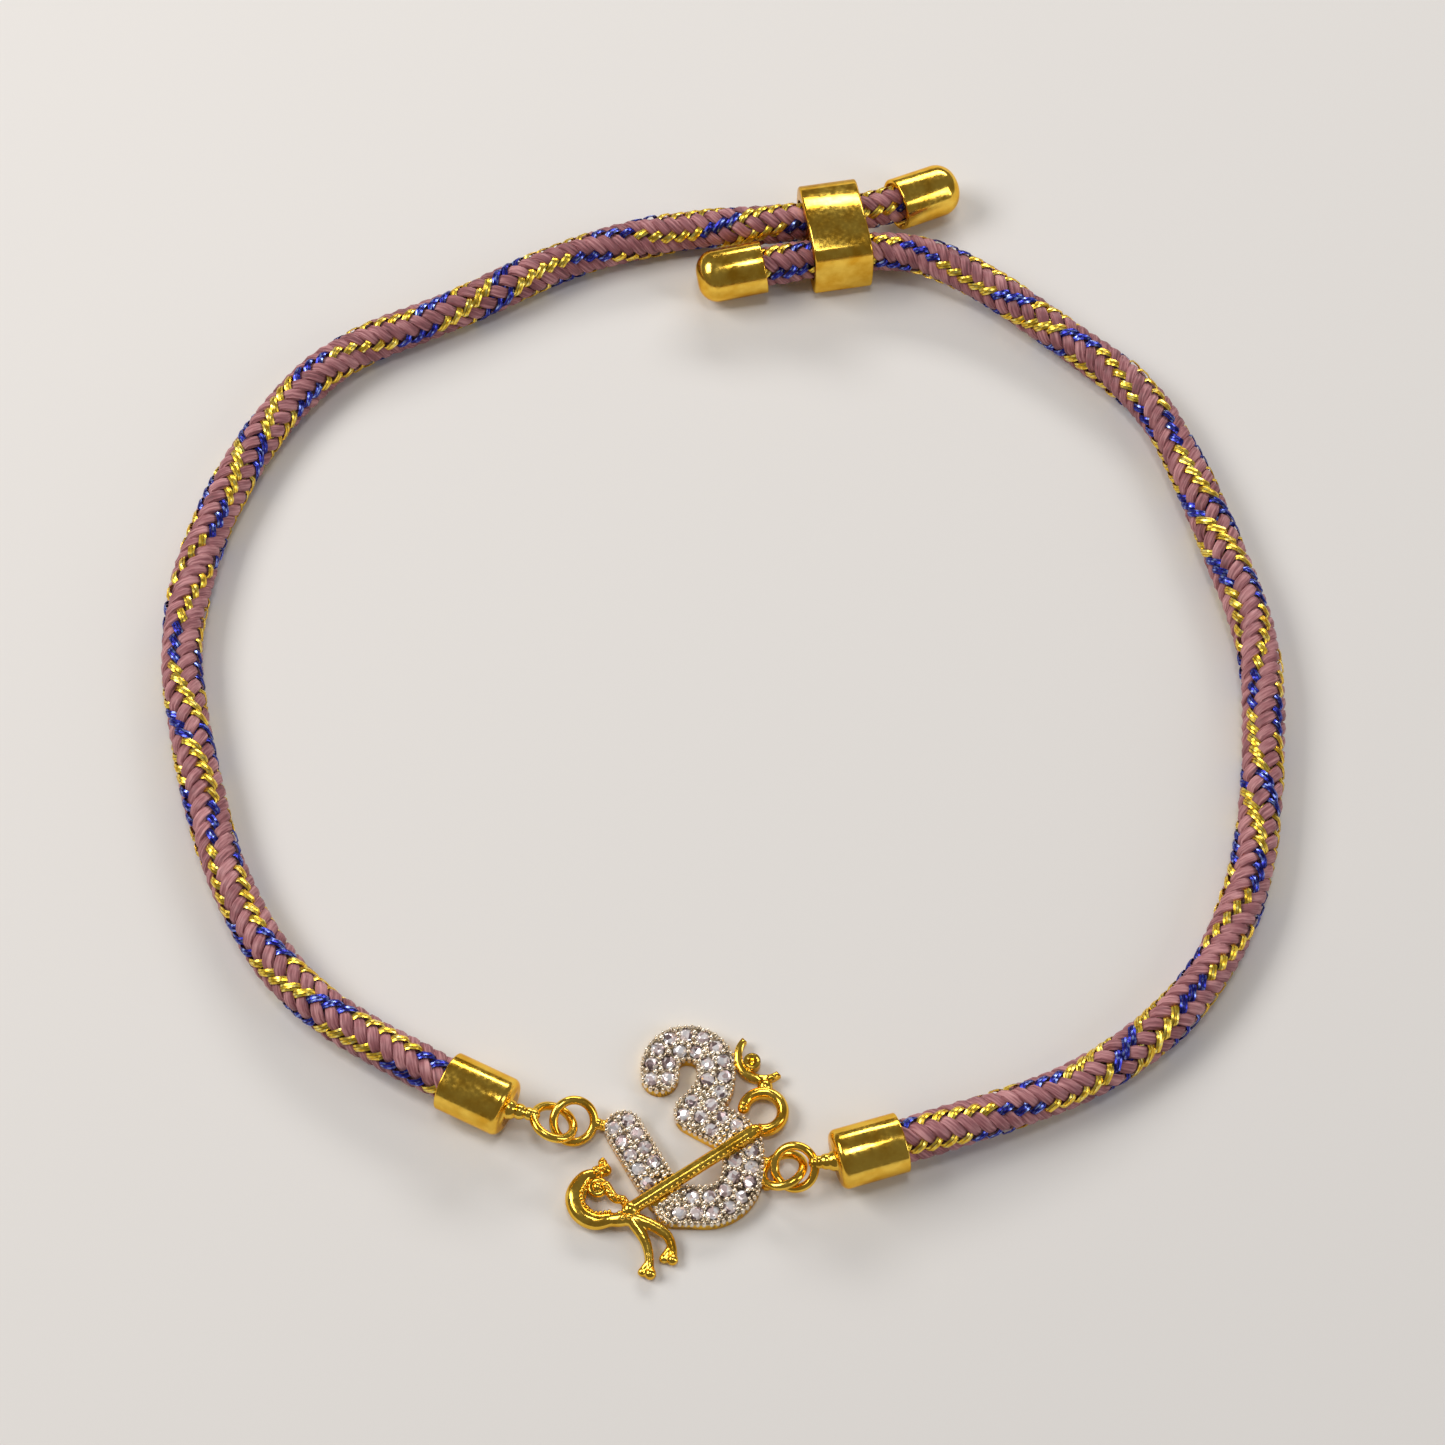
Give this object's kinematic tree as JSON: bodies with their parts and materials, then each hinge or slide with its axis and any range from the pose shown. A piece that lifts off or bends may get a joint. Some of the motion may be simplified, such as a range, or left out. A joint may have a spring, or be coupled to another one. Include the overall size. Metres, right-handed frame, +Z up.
{
  "type": "braided thread bracelet with a stone set charm",
  "caption": "Adjustable bracelet of two braided cords with metal caps, a two-bore slider and a small gilt charm set with round cut stones, lying as an open loop.",
  "frame": {"origin": "middle of the wrist opening, on the surface that the bracelet lies on", "axes": "+X to the right with the charm nearest, +Y from the charm to the slider, +Z up, out of the wrist opening"},
  "size_m": [0.0841, 0.0938, 0.0053],
  "materials": {
    "thread": "satin",
    "gilt": "polished",
    "crystal": "polished"
  },
  "bodies": {
    "root": {"cord_left": "thread", "cord_right": "thread", "slider": "gilt", "stopper_left": "gilt", "stopper_right": "gilt", "end_cap_left": "gilt", "end_cap_right": "gilt", "charm_frame": "gilt", "pave_stones": "crystal"}
  },
  "joints": []
}
